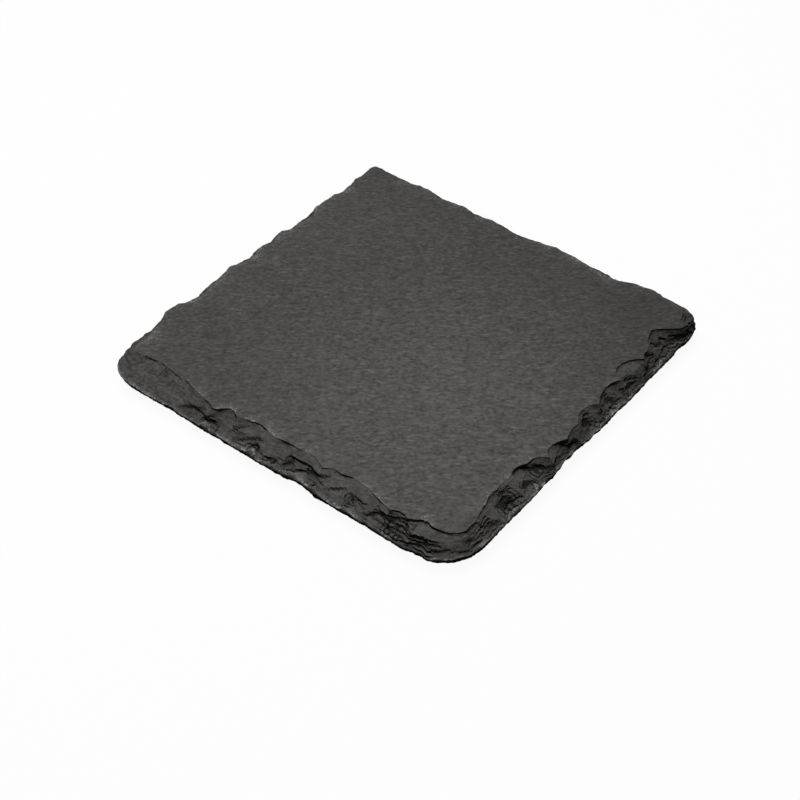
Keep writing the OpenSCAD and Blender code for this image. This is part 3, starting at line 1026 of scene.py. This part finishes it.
    def stations(self) -> list[Station]:
        """The stations of the outline in turn, anticlockwise from the front side's start."""
        found = []
        for index, here in enumerate(self.sides):
            after = self.sides[(index + 1) % len(self.sides)]
            straight = here.half_run - self.core_inset
            out = after.half_run - self.core_inset
            for step in range(self.side_steps):
                run = straight * (2 * step / self.side_steps - 1)
                core, reach = here.side.turned(run, out), here.side.turned(0, self.core_inset)
                found.append(Station(core, reach, ((here, run / here.half_run, 1.0),), 0.0))
            core = here.side.turned(straight, out)
            for step in range(self.corner_steps):
                angle = math.pi / 2 * step / self.corner_steps
                length = self._corner_reach(angle, self.corner_radii[index])
                along, beyond = length * math.sin(angle), length * math.cos(angle)
                weight = eased(step / self.corner_steps)
                shares = (
                    (here, (straight + along) / here.half_run, 1 - weight),
                    (after, -(out + beyond) / after.half_run, weight),
                )
                relief = self.corner_reliefs[index] * math.sin(2 * angle)
                found.append(Station(core, here.side.turned(along, beyond), shares, relief))
        return found

    def _cut(
        self, side: ChippedSide, chips: Sequence[Chip], place: float, fall: float, top: float
    ) -> tuple[float, float]:
        """The deepest cut into one side at one fall.

        Args:
            side: the side.
            chips: its chips that reach the place.
            place: place along the side.
            fall: fall below the top face.
            top: fall of the top of the bed of slate that it lies in.

        Returns:
            The setback in millimetres, and how far it breaks in steps along the beds.
        """
        smooth = held = side.plain(place, fall)
        stepping = self.plain_stepping
        for chip in chips:
            here = chip.depth(place, fall, self.hollow)
            if here > smooth:
                smooth, stepping = here, chip.stepping
            held = max(held, chip.depth(place, top, self.hollow))
        held = max(held, side.plain(place, top))
        return side.bevel * (smooth + (held - smooth) * stepping), stepping

    def _wall(self, station: Station) -> list[tuple[float, float, int, float]]:
        """The chipped wall at one station, from the arris down to the rim.

        Args:
            station: the station.

        Returns:
            Points as (setback, fall, bed, gloom), where gloom is the painted shade of torn
            hollows and of the rings' troughs; each bed begins and ends with its own point.
        """
        x, y = station.core + station.reach
        rasp = self.ragged * station.blended(lambda side, _: self.rasps[side.side.value])
        broken = clamped(self.brokenness.at(x, y), *self.brokenness_limits)
        points: list[tuple[float, float, int, float]] = []
        for bed, count in enumerate(self.bed_layers):
            top, foot = self.bed_tops[bed : bed + 2]
            torn = self.tearing.at(x, y, bed) + self.splinters.at(x, y, bed)
            loose = self.looseness.at(x, y, bed)
            shown = [
                (side, [c.loosened(loose, broken) for c in side.chips_at(place)], place, weight)
                for side, place, weight in station.shares
                if weight > 0
            ]
            for layer in range(count + 1):
                fall = top + (foot - top) * layer / count
                depth = stepping = gloom = 0.0
                for side, chips, place, weight in shown:
                    cut = self._cut(side, chips, place, min(fall, self.lowest_cut), top)
                    depth += weight * cut[0]
                    stepping += weight * cut[1]
                    gloom += weight * side.gloom(place, fall)
                depth *= 1 - station.relief
                even = self.pitting.at(x, y, fall)
                fine = even + (torn - even) * min(1.0, self.torn_gain * stepping)
                strength = rasp * (self.plain_rasp + stepping)
                strength *= min(1.0, self.rim_rasp + self.full_rasp_rise * depth)
                depth += self.hollow_depth * gloom * (1 + self.hollow_tear * torn)
                # The rings' troughs get painted shade
                for side, _, place, weight in shown:
                    height, trough = side.rings(place, fall)
                    depth += weight * height
                    gloom = max(gloom, weight * trough)
                if points:
                    depth = min(depth + strength * fine, points[-1][0] - self.least_step)
                else:
                    depth += strength * self.arris_calm * fine
                points.append((depth, fall, bed, gloom))
        least = [self.least_step * (len(points) - index) for index in range(len(points))]
        return [(max(low, point[0]), *point[1:]) for low, point in zip(least, points)]

    def _bruise(self, station: Station, upper: bool) -> float:
        """How bruised the arris, or else the rim, is at a station, in patches."""
        strength = station.blended(lambda side, place: side.bruise(place, upper))
        patches = self.bruise_patches[upper].at(*(station.core + station.reach))
        return min(self.most_bruise, strength * max(self.least_patch, patches))

    def _contour(self, station: Station, worn_edge: float) -> float:
        """Strength of the painted shade along the contour below a worn lip.

        It lies in patches that end before the corners.
        """
        strength = min(1.0, worn_edge / self.contour_wear)
        strength *= ramp(abs(station.shares[0][1]), *self.contour_run)
        patches = self.contour_patches.at(*(station.core + station.reach))
        return clamped(strength * patches, 0.0, self.most_contour)

    def _column(self, station: Station) -> list[tuple[float, float, float, float, float]]:
        """Everything at one station from the top face down to the underside.

        Args:
            station: the station.

        Returns:
            Points as (setback, height, bruise, crease, gloom), from inside the arris
            to the underside; crease and gloom are painted shade.
        """
        x, y = station.core + station.reach
        nick = station.blended(ChippedSide.nick) + (
            self.rim_waver.at(x, y) + self.rim_sway.at(x, y)
        )
        nick = max(0.0, nick - self.rim_growth)
        rim = self.rim_z + self.rim_level.at(x, y)
        lip_z = self.top - self.lip_drop
        upper, lower = self._bruise(station, True), self._bruise(station, False)
        worn_edge = station.blended(lambda side, _: side.worn_edge)
        fade = self.lip_fade + self.worn_lip_fade * worn_edge
        contour = self._contour(station, worn_edge)
        wall = self._wall(station)
        column = [
            (nick + wall[0][0] + inset, self.top, upper * share, 0.0, 0.0)
            for inset, share in self.speckled_lip
        ]
        for (setback, fall, bed, gloom), following in zip(wall, [*wall[1:], None]):
            lean = self.bed_lean.at(x, y, bed) * ramp(fall, 0.0, self.lean_fade)
            lean *= ramp(fall, 1.0, 1 - self.lean_fade)
            z = lip_z - (lip_z - rim) * fall + lean
            worn = lower * ramp(fall, *self.rim_wear)
            worn += upper * ramp(fall, fade, 0.0) * self.lip_share
            shade = contour * ramp(fall, *self.contour_start) * ramp(fall, *self.contour_end)
            if following and following[2] != bed:
                tread = setback - following[0]
                # Painted shade in the crease under each tread, in patches, fainter on the ring
                # inside it
                patches = clamped(self.crease_patches.at(x, y, bed), 0.0, 1.0)
                crease = max(shade, ramp(tread, 0.0, self.full_tread) * patches)
                inner_shade = max(shade, crease * self.inner_crease_shade)
                inner = nick + setback - min(self.crease_width, tread / 2)
                column.append((nick + setback, z, worn, crease, gloom))
                column.append((inner, z - self.crease_drop, worn, inner_shade, gloom))
            else:
                column.append((nick + setback, z - 2 * self.crease_drop, worn, shade, gloom))
        under = self.undercut * self.undercut_sway.at(x, y)
        # Painted shadow on the undercut under the rim, and painted shade on the underside near
        # the edge
        for share, sink, shade in self.undercut_line:
            inward = under * share + self.undercut_rasp.at(x, y, share)
            inward = nick + max(self.least_undercut, inward)
            column.append((inward, rim + (self.bottom - rim) * sink, 0.0, shade, 0.0))
        for inset, shade in self.underside_line:
            column.append((nick + under + inset, self.bottom, 0.0, shade, 0.0))
        return column

    @staticmethod
    def _next_ring(bm: BMesh, ring: Sequence[BMVert]) -> list[BMVert]:
        """Extrudes a ring, and returns the new one's vertices in the order of the old ones."""
        made = bmesh.ops.extrude_edge_only(bm, edges=ring_edges(bm, ring))["geom"]
        fresh = {item for item in made if isinstance(item, BMVert)}
        return [
            next(v for e in old.link_edges if (v := e.other_vert(old)) in fresh)
            for old in ring
        ]

    def build(self) -> bpy.types.Object:
        """Models the slab.

        Returns:
            The slab's object, dressed and riding on the frame.
        """
        stations = self.stations()
        columns = [self._column(station) for station in stations]
        bm = bmesh.new()
        layers = [bm.verts.layers.float.new(name) for name in ("bruise", "crease", "gloom")]
        ring = bmesh.ops.create_circle(
            bm, cap_ends=False, radius=self.length / 2 * MM, segments=len(stations)
        )["verts"]
        rings = []
        for level in range(len(columns[0])):
            if level:
                ring = self._next_ring(bm, ring)
            for vert, station, column in zip(ring, stations, columns):
                setback, height, *marks = column[level]
                spot = station.spot(setback, self.core_inset)
                vert.co = (spot.x * MM, spot.y * MM, height * MM)
                for layer, mark in zip(layers, marks):
                    vert[layer] = mark
            rings.append(ring)
        for end in (rings[0], rings[-1]):
            bmesh.ops.edgeloop_fill(bm, edges=ring_edges(bm, end))
        bmesh.ops.recalc_face_normals(bm, faces=bm.faces[:])
        limits = [
            station.blended(lambda side, _: self.sheer_limits[side.side.value])
            for station in stations
        ]
        outer = rings[len(self.speckled_lip) :]
        self._mark_faces(bm, {v: n for ring in outer for v, n in zip(ring, limits)})
        material = self.finish.material()
        piece = finished_object("slab_of_slate", bm, material, self.sharp_angle)
        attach(piece, "root")
        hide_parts("slate_slab")
        return piece

    def _mark_faces(self, bm: BMesh, limits: dict[BMVert, float]) -> None:
        """Marks which faces are chipped, and how much painted shade each one gets for being
        sheer.

        Args:
            bm: the mesh.
            limits: for each vertex from the arris outward, how far a face there may point up
                and still get the painted shade of a riser.
        """
        chipped = bm.faces.layers.float.new("chipped")
        steep = bm.faces.layers.float.new("steep")
        for face in bm.faces:
            if all(v in limits for v in face.verts):
                face[chipped] = 1.0
                # Painted shade on sheer faces, where shade falls, but not on faces that point
                # down
                limit, up = limits[face.verts[0]], face.normal.z
                sheer = ramp(up, limit, limit - self.sheer_softness)
                face[steep] = sheer * ramp(up, *self.downward)


# The feet


class Corner(Enum):
    """The corners that carry a foot, as (across, along)."""

    FRONT_LEFT = (-1, -1)
    FRONT_RIGHT = (1, -1)
    BACK_RIGHT = (1, 1)
    BACK_LEFT = (-1, 1)

    @property
    def label(self) -> str:
        """The corner's name in the names of nodes and pieces."""
        return self.name.lower()

    def middle(self, node: str) -> Vector:
        """The middle of this corner's foot in plan, from its node's box."""
        low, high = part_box(f"{node}_{self.label}")
        return Vector(((low.x + high.x) / 2, (low.y + high.y) / 2, 0.0))


@dataclass
class Disc:
    """A round disc under a corner of the slab; sizes are in millimetres."""

    corner: Corner
    diameter: float
    thickness: float
    edge: float
    edge_steps: int
    seeds: tuple
    sharp_angle: float
    facets: int = 96

    def _seed(self) -> int:
        """A number that makes this corner's disc uneven in its own way."""
        return sum(step * way for step, way in zip(self.seeds, self.corner.value))

    def _flat(self) -> BMesh:
        """A new mesh that holds the flat disc."""
        bm = bmesh.new()
        radius = self.diameter / 2 * MM
        bmesh.ops.create_circle(bm, cap_ends=True, radius=radius, segments=self.facets)
        return bm

    def _thicken(self, bm: BMesh) -> None:
        """Gives the flat disc its thickness and rounds its two rims."""
        grown = bmesh.ops.extrude_face_region(bm, geom=bm.faces[:])["geom"]
        lifted = [item for item in grown if isinstance(item, BMVert)]
        bmesh.ops.translate(bm, verts=lifted, vec=(0, 0, self.thickness * MM))
        edges = [e for e in bm.edges if abs(e.verts[0].co.z - e.verts[1].co.z) < LEVEL]
        bmesh.ops.bevel(
            bm,
            geom=edges,
            offset=self.edge * MM,
            segments=self.edge_steps,
            profile=0.5,
            affect="EDGES",
            material=-1,
        )


@dataclass
class FoamFoot(Disc):
    """A die-cut foam foot; sizes are in millimetres."""

    diameter: float = 10.0
    thickness: float = 1.5
    edge: float = 0.3
    edge_steps: int = 5
    seeds: tuple = (10, 3)
    sharp_angle: float = 50.0
    insets: tuple = (0.5, 1.3, 2.2)
    rough_band: float = 0.6
    dips: Unevenness = Unevenness(0, 0.7, 2, mean=0.025, swing=0.025, rise=1.0)
    least_dip: float = 0.4

    def build(self, material: bpy.types.Material) -> bpy.types.Object:
        """Models the foot, dressed in its finish and riding on the frame."""
        bm = self._flat()
        self._thicken(bm)
        flats = [f for f in bm.faces if len(f.verts) > 4]
        for width in self.insets:
            bmesh.ops.inset_region(bm, faces=flats, thickness=width * MM, use_even_offset=True)
        bmesh.ops.recalc_face_normals(bm, faces=bm.faces[:])
        self._roughen(bm)
        bmesh.ops.translate(bm, verts=bm.verts[:], vec=self.corner.middle("foam_pad"))
        name = f"foam_foot_{self.corner.label}"
        piece = finished_object(name, bm, material, self.sharp_angle)
        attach(piece, "root")
        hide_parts(f"foam_pad_{self.corner.label}")
        return piece

    def _roughen(self, bm: BMesh) -> None:
        """Lets the wall and the edges of the flat ends dip a little, as cut foam does."""
        half = self.thickness / 2
        for vert in bm.verts:
            x, y, z = vert.co / MM
            radial = Vector((x, y, 0.0))
            if radial.length >= self.diameter / 2 - self.rough_band:
                wall = 1 - min(1.0, abs(z - half) / half)
                dip = self.dips.at(x, y, z + self._seed()) * (self.least_dip + wall)
                vert.co -= radial.normalized() * dip * MM


@dataclass
class AdhesiveDisc(Disc):
    """The thin disc of adhesive that holds a foot to the slab; sizes are in millimetres."""

    diameter: float = 9.2
    thickness: float = 0.15
    edge: float = 0.04
    edge_steps: int = 2
    seeds: tuple = (5, 2)
    sharp_angle: float = 40.0
    bottom: float = 1.5
    shrinkage: Unevenness = Unevenness(0, 1.4, 2, mean=0.006, swing=0.006, rise=1.0)

    def build(self, material: bpy.types.Material) -> bpy.types.Object:
        """Models the disc, dressed in its finish and riding on the frame."""
        bm = self._flat()
        for vert in bm.verts:
            x, y = vert.co.xy / MM
            vert.co *= 1 - self.shrinkage.at(x, y, self._seed())
        self._thicken(bm)
        bmesh.ops.recalc_face_normals(bm, faces=bm.faces[:])
        place = self.corner.middle("adhesive_disc") + Vector((0, 0, self.bottom * MM))
        bmesh.ops.translate(bm, verts=bm.verts[:], vec=place)
        name = f"adhesive_{self.corner.label}"
        piece = finished_object(name, bm, material, self.sharp_angle)
        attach(piece, "root")
        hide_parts(f"adhesive_disc_{self.corner.label}")
        return piece


# The studio


@dataclass(frozen=True)
class Viewpoint:
    """The photograph's viewpoint: degrees, metres, and millimetres for its lens and sensor."""

    azimuth: float = 38.18
    elevation: float = 41.45
    distance: float = 0.3488
    lens: float = 67.77
    sensor: float = 36.0
    shift: tuple = (-0.0094, -0.056)
    nearest: float = 0.01

    def build(self) -> None:
        """Makes the camera and gives it to the scene."""
        turn, lift = math.radians(self.azimuth), math.radians(self.elevation)
        back = Vector(
            (math.sin(turn) * math.cos(lift), -math.cos(turn) * math.cos(lift), math.sin(lift))
        )
        right = Vector((math.cos(turn), math.sin(turn), 0.0))
        basis = Matrix((right, back.cross(right), back)).transposed()
        lens = bpy.data.cameras.new("studio_camera")
        lens.lens = self.lens
        lens.sensor_width = self.sensor
        lens.shift_x, lens.shift_y = self.shift
        lens.clip_start = self.nearest
        camera = bpy.data.objects.new("studio_camera", lens)
        camera.matrix_world = Matrix.Translation(back * self.distance) @ basis.to_4x4()
        bpy.context.scene.collection.objects.link(camera)
        bpy.context.scene.camera = camera


@dataclass(frozen=True)
class Softbox:
    """A square area lamp that faces the object."""

    name: str = "overhead_softbox"
    place: tuple = (-0.16, 0.02, 0.62)
    width: float = 0.50
    power: float = 3.6

    def build(self) -> None:
        """Makes the lamp."""
        lamp = bpy.data.lights.new(self.name, "AREA")
        lamp.shape = "SQUARE"
        lamp.size = self.width
        lamp.energy = self.power
        body = bpy.data.objects.new(self.name, lamp)
        body.location = self.place
        body.rotation_euler = Vector(self.place).to_track_quat("Z", "Y").to_euler()
        bpy.context.scene.collection.objects.link(body)


@dataclass
class Studio:
    """A plain pale floor, plain soft light and the photograph's viewpoint."""

    floor_width: float = 6.0
    floor_seen: tuple = (0.94, 0.94, 0.94, 1.0)
    floor_bounce: tuple = (0.36, 0.36, 0.36, 1.0)
    glow_share: float = 0.94
    ambient: float = 0.16
    viewpoint: Viewpoint = field(default_factory=Viewpoint)
    softbox: Softbox = field(default_factory=Softbox)

    def _white_seen(self, graph: NodeGraph) -> Signal:
        """1 for what is seen straight or by gloss or glass, and 0 for light on the object."""
        path = graph.tree.nodes.new("ShaderNodeLightPath")
        seen = Signal(graph, path.outputs["Is Camera Ray"])
        for name in ("Is Glossy Ray", "Is Transmission Ray"):
            seen = seen.highest(Signal(graph, path.outputs[name]))
        return seen

    def floor(self) -> None:
        """Makes the floor, which shows white and keeps the object's shadow."""
        material, graph = new_material("studio_paper")
        paper = graph.node("ShaderNodeBsdfDiffuse", inputs={"Color": self.floor_seen})
        bounce = graph.node("ShaderNodeBsdfDiffuse", inputs={"Color": self.floor_bounce})
        glow = graph.node("ShaderNodeEmission", inputs={"Color": WHITE, "Strength": 1.0})
        lit = graph.mixed_shader(self.glow_share, paper, glow)
        graph.finish_with(graph.mixed_shader(self._white_seen(graph), bounce, lit))
        bm = bmesh.new()
        bmesh.ops.create_grid(bm, x_segments=8, y_segments=8, size=self.floor_width / 2)
        piece = finished_object("studio_floor", bm, material)

    def world(self) -> None:
        """Lights the scene evenly from all round, and shows white where it is seen."""
        world = bpy.data.worlds.new("studio_air")
        bpy.context.scene.world = world
        graph = NodeGraph(world)
        air, white = (
            graph.node("ShaderNodeBackground", inputs={"Color": WHITE, "Strength": strength})
            for strength in (self.ambient, 1.0)
        )
        mixed = graph.mixed_shader(self._white_seen(graph), air, white)
        graph.finish_with(mixed, "ShaderNodeOutputWorld")

    def build(self) -> None:
        """Sets up the camera, the lamp, the air and the floor."""
        self.viewpoint.build()
        self.softbox.build()
        self.world()
        self.floor()
        bpy.context.scene.view_settings.view_transform = "Standard"


# Making it all


def main() -> None:
    """Builds the studio and the coaster's pieces in order."""
    logging.basicConfig(level=logging.INFO, format="%(name)s: %(message)s")
    Studio().build()
    pieces = [SlateSlab().build()]
    foam, film = FoamFinish().material(), AdhesiveFinish().material()
    for corner in Corner:
        pieces.append(FoamFoot(corner).build(foam))
        pieces.append(AdhesiveDisc(corner).build(film))
    for piece in pieces:
        LOG.info("%s: %d faces", piece.name, len(piece.data.polygons))


if __name__ == "__main__":
    main()
